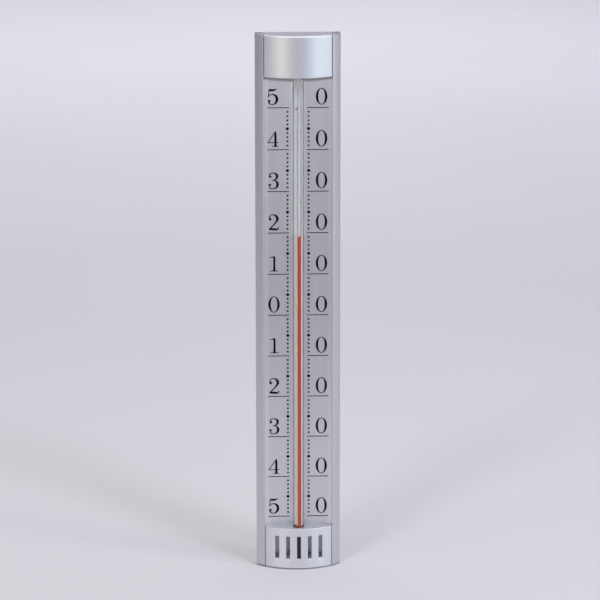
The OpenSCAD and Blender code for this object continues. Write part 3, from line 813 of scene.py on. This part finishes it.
def shell_skin(height, lip_h, closed_r, open_r, slots):
    """Closed skin of a cap or cover drawn with its closed end at nought: every upright slice
    across the width is the same hooked outline, run from the rear foot forward under the
    closed end, up the front, back over the open end's lip, and home inside. The front and the
    inside of the wall follow the arc, the lip stops at the round entry of the stem, and the
    front falls back by quarter rounds at both sides, at the ends and round the slots."""
    close, end_depths = 0.12, (11.0, 9.0)
    x, full = shell_slices(slots)
    lip_end = np.where(full, PLATE_D, AXIS_D - np.sqrt(np.maximum(ENTRY_R ** 2 - x ** 2, 0)))
    beyond = np.clip(np.abs(x) - (SHELL_X - SIDE_EDGE_R), 0, SIDE_EDGE_R)
    side_fall = SIDE_EDGE_R - np.sqrt(SIDE_EDGE_R ** 2 - beyond ** 2)
    inner = arc_depth(x, SHELL_T)

    def ring(depth, z):
        """One point of every slice, all at one height."""
        return np.stack([x, np.broadcast_to(depth, x.shape), np.full(len(x), float(z))], 1)

    def front(sunk, z):
        """Such a row on the front, fallen back by sunk."""
        return ring(arc_depth(x, np.maximum(sunk, side_fall)), z)

    rows = np.linspace(closed_r + close, height - open_r - close, 6)
    if slots:
        rows = np.array([rows[0], *(SLOT_LOW_Z - SLOT_EDGE_LINES[::-1]),
                         *np.linspace(SLOT_LOW_Z, SLOT_TOP_Z, 5)[1:-1],
                         *(SLOT_TOP_Z + SLOT_EDGE_LINES), rows[-1]])
    bend = list(zip(*quarter(8)))
    outside = [*(ring(d, 0) for d in (BODY_D - close, *end_depths)),
               ring(arc_depth(x, closed_r + close + side_fall), 0),
               *(front(closed_r * (1 - s), closed_r * (1 - c)) for s, c in bend)]
    front_row = len(outside)
    outside += [*(front(slot_fall(x, z, slots), z) for z in rows),
                *(front(open_r * (1 - c), height - open_r * (1 - s)) for s, c in bend),
                ring(np.minimum(arc_depth(x, open_r + close + side_fall), lip_end), height),
                ring(lip_end, height), ring(lip_end, height - SHELL_T),
                ring(np.minimum(inner, lip_end), height - SHELL_T)]
    inner_row = len(outside)
    inside = [*(ring(inner, z) for z in rows[::-1]), ring(inner, END_T), ring(LIP_D, END_T),
              ring(LIP_D, lip_h), ring(BODY_D - close, lip_h), ring(BODY_D, lip_h - close),
              ring(BODY_D, close)]
    rings = np.stack(outside + inside, 1)
    stations, around = rings.shape[:2]
    faces = grid_faces(stations, around, wrap=True)
    ends = [list(range(around))[::-1], list(range((stations - 1) * around, stations * around))]
    walls = []
    if slots:
        gone, walls = slot_cuts(x, rows, slots, front_row, inner_row, around)
        faces = faces[~gone]
    return rings.reshape(-1, 3), faces.tolist() + ends + walls


def upended(points, flip):
    """Points as drawn, or turned end over end for the cap."""
    return points * (1, 1, -1) + (0, 0, BODY_H) if flip else points


def shell_piece(name, node, height, lip_h, closed_r, open_r, slots, screw, bite, flip):
    """Cap or cover: its skin, painted outside and bare inside, with its two side walls and
    its two bosses as skins of their own that reach into the wall."""
    sink, apart = 0.5, 0.02
    in_x, out_x, back = SHELL_X - SHELL_T, SHELL_X - apart, PLATE_D - apart
    outline = np.array([(in_x, arc_depth(in_x, sink)), (out_x, arc_depth(out_x, sink)),
                        (out_x, back), (in_x, back)])
    wall = carried(np.stack([np.column_stack([outline, np.full(4, z)])
                             for z in (END_T - sink, height - SHELL_T + sink)]))
    screw_x, screw_z = screw[0], (BODY_H - screw[1] if flip else screw[1])
    front = float(arc_depth(min(screw_x + BOSS_R, SHELL_X), sink)) + sink
    post_r, pilot_r, pilot_d = BOSS_R - apart, SCREW_R - SCREW_GRIP, PLATE_D - bite
    post = turned([(0, front), (post_r, front), (post_r, back), (pilot_r, back),
                   (pilot_r, pilot_d), (0, pilot_d)], (screw_x, 0, screw_z), 40, along="y")
    skins = [shell_skin(height, lip_h, closed_r, open_r, slots), wall, mirrored(wall), post,
             mirrored(post)]
    mesh = closed_mesh(name, [(upended(points, flip), faces) for points, faces in skins])
    place(name, mesh, PAINT, node)
    mesh.materials.append(BARE)
    # The paint lies on the front, the ends and the sides; all the rest is bare
    front_within, closed_within, open_within, side_within = 0.4, 0.05, 0.02, 0.03
    for face in mesh.polygons:
        x, depth, z = face.center[0] / MM, face.center[1] / MM + BODY_D / 2, face.center[2] / MM
        along = BODY_H - z if flip else z
        painted = (depth < arc_depth(x) + front_within or abs(x) > SHELL_X - side_within
                   or along < closed_r + closed_within or along > height - open_within)
        face.material_index = 0 if painted else 1


slots_x = tuple(SLOT_PITCH * np.arange(-2, 3))
shell_piece("top_cap_shell", "top_cap", BODY_H - CAP_Z, CAP_LIP_H, CAP_EDGE_R, TRIM_EDGE_R, (),
            CAP_SCREW, CAP_BITE, flip=True)
shell_piece("bulb_cover_shell", "bulb_cover", COVER_H, COVER_LIP_H, TRIM_EDGE_R, TRIM_EDGE_R,
            slots_x, COVER_SCREW, COVER_BITE, flip=False)


# ---------------------------------------------------------------- screws

def screw_skin(x, z, bite):
    """Closed skin of a pan-head screw: shank, head domed by the square of the radius, and a
    cross recess that sinks where the lesser of the two distances from the middle is under the
    blade's half width."""
    edge_r, dome, lip, point = 0.35, 0.25, 0.05, 0.7
    half_blade, reach, sunk, slope, face_d = 0.28, 1.15, 0.7, 0.35, 0.3
    tip, top, dome_r = PLATE_D - bite, WEB_BACK_D + HEAD_H, HEAD_R - edge_r
    profile = [(0, tip), (SCREW_R * 0.5, tip), (SCREW_R, tip + point), (SCREW_R, WEB_BACK_D),
               (HEAD_R - lip, WEB_BACK_D), (HEAD_R, WEB_BACK_D + lip)]
    profile += [(HEAD_R - edge_r * (1 - c), top - dome - edge_r + edge_r * s)
                for s, c in zip(*quarter(6))]
    profile += [(r, top - dome * (r / dome_r) ** 2) for r in np.linspace(dome_r, 0, 22)[1:]]
    points, faces = turned(profile, (0, 0, 0), 72, along="y")
    across = np.sort(np.abs(points[:, [0, 2]]), axis=1)
    cross = ((across[:, 0] < half_blade) & (across[:, 1] < reach)
             & (points[:, 1] > top - face_d))
    taper = np.clip((reach - across[:, 1]) / slope, 0, 1)
    points[:, 1] -= np.where(cross, sunk * taper, 0)
    return moved((points, faces), (x, 0, z))


for name, node, (x, z), bite in (("cap_screw", "cap_screws", CAP_SCREW, CAP_BITE),
                                 ("cover_screw", "cover_screws", COVER_SCREW, COVER_BITE)):
    for side, word in ((-1, "left"), (1, "right")):
        label = f"{name}_{word}"
        screw = closed_mesh(label, [screw_skin(side * x, z, bite)])
        place(label, screw, STEEL, node)


# ---------------------------------------------------------------- stage, camera and lights

def backdrop():
    """Pale sheet over the back of a grey table: flat in the middle, and beyond it at both sides
    and behind its height is that of a quarter circle of the distance from the flat part. The
    table shows in front of the sheet's edge. A small gap under the foot draws its line."""
    side_x, back_y, sweep_r, front_y, sheet_y, foot_gap = 2.4, 2.4, 1.1, -2.4, -0.30, 0.55 * MM
    climb = 0.97                     # share of the quarter circle
    out = sweep_r * np.sin(np.linspace(0, climb * np.pi / 2, 25))
    x = np.concatenate([-side_x - out[::-1], np.linspace(-side_x, side_x, 9)[1:-1], side_x + out])
    y = np.concatenate([[front_y, -1.0, sheet_y], np.linspace(0, back_y, 7)[1:-1], back_y + out])
    across, along = np.meshgrid(x, y)
    beyond = np.hypot(np.maximum(np.abs(across) - side_x, 0), np.maximum(along - back_y, 0))
    height = (sweep_r - np.sqrt(np.maximum(sweep_r ** 2 - beyond ** 2, 0))
              + np.maximum(beyond - sweep_r, 0))
    mesh = bpy.data.meshes.new("studio_floor")
    mesh.from_pydata(np.stack([across, along, height - foot_gap], -1).reshape(-1, 3).tolist(), [],
                     grid_faces(len(y), len(x)).tolist())
    mesh.shade_smooth()
    obj = bpy.data.objects.new("studio_floor", mesh)
    bpy.context.scene.collection.objects.link(obj)
    for name, low, high in (("studio_sheet_matt_white", "E9E8EB", "EBEAED"),
                            ("studio_table_matt_grey", "B4B4B8", "B8B8BC")):
        made, tree, shader, coord = material(name, Roughness=0.8, Specular_IOR_Level=0.2)
        tinted(tree, shader, grain(tree, coord, (300.0, 300.0, 300.0), 1.0), low, high)
        mesh.materials.append(made)
    for face in mesh.polygons:
        face.material_index = int(face.center.y < sheet_y and abs(face.center.x) < side_x)


def lamp(name, at, aim, width, height, colour, watts, beam=180):
    """Rectangular lamp at a point in metres that faces another, its light held within a beam
    in degrees. It passes the glass as shadow rays alone, and rays bent by the glass don't
    find it."""
    made = bpy.data.lights.new(name, "AREA")
    made.shape, made.size, made.size_y = "RECTANGLE", width, height
    made.color, made.energy, made.spread = linear(colour)[:3], watts, math.radians(beam)
    obj = bpy.data.objects.new(name, made)
    obj.location = at
    obj.rotation_mode = "QUATERNION"
    obj.rotation_quaternion = (Vector(at) - Vector(aim)).to_track_quat("Z", "Y")
    obj.visible_transmission = False
    bpy.context.scene.collection.objects.link(obj)


backdrop()

# Each lamp's place and aim, width and height in metres, colour, watts, and beam if it is narrow
halfway = (0, 0, 0.13)
lamp("window_left", (-0.976, -1.625, 0.263), halfway, 0.36, 0.46, "FFF8DD", 4.7)
lamp("window_left_high", (-0.680, -1.131, 1.497), halfway, 0.36, 0.46, "FFFCE4", 4.0)
lamp("window_right", (1.141, -1.514, 0.263), halfway, 0.36, 0.46, "DCFAFF", 4.1)
lamp("window_right_high", (0.794, -1.054, 1.497), halfway, 0.36, 0.46, "F0F6FF", 5.2)
lamp("side_right", (1.650, -0.805, 0.622), halfway, 0.5, 0.7, "FCFFFA", 7.5)
lamp("side_left", (-1.620, -0.862, 0.622), halfway, 0.5, 0.7, "FFFCF0", 1.0)
lamp("above", (0, 0.1, 1.0), (0, 0.1, 0), 0.8, 0.8, "FFFFF6", 3.65)
lamp("behind_near", (0, 0.4, 2.0), (0, 0.9, 0), 1.6, 0.4, "FFFFFF", 0.5, 50)
lamp("behind_middle", (0, 0.6, 2.2), (0, 1.5, 0), 1.6, 0.4, "FFFFFF", 2.35, 50)
lamp("behind_far", (0, 0.9, 2.0), (0, 2.0, 0), 1.6, 0.4, "FFFFFF", 1.55, 50)

world = bpy.data.worlds.new("studio")
world.use_nodes = True
sky = world.node_tree.nodes["Background"]
sky.inputs["Color"].default_value, sky.inputs["Strength"].default_value = linear("E9E2FF"), 0.343
bpy.context.scene.world = world

# Camera as solved from the photograph: place, lens in millimetres, and direction by azimuth and
# elevation with a small roll, in radians
CAMERA_AT, CAMERA_LENS = Vector((-0.06189, -1.48263, 0.50526)), 193.74
CAMERA_AZIMUTH, CAMERA_ELEVATION, CAMERA_ROLL = -0.0423, 0.2466, -0.0008
lens = bpy.data.cameras.new("camera")
lens.lens, lens.sensor_width = CAMERA_LENS, 36.0
lens.clip_start, lens.clip_end = 0.05, 20.0
camera = bpy.data.objects.new("camera", lens)
back = Vector((math.sin(CAMERA_AZIMUTH) * math.cos(CAMERA_ELEVATION),
               -math.cos(CAMERA_AZIMUTH) * math.cos(CAMERA_ELEVATION), math.sin(CAMERA_ELEVATION)))
right = Vector((0, 0, 1)).cross(back).normalized()
up = back.cross(right)
turned_right = math.cos(CAMERA_ROLL) * right + math.sin(CAMERA_ROLL) * up
turned_up = -math.sin(CAMERA_ROLL) * right + math.cos(CAMERA_ROLL) * up
turn = Matrix((turned_right, turned_up, back)).transposed().to_4x4()
camera.matrix_world = Matrix.Translation(CAMERA_AT) @ turn
bpy.context.scene.collection.objects.link(camera)
bpy.context.scene.camera = camera
bpy.context.scene.view_settings.view_transform = "Standard"
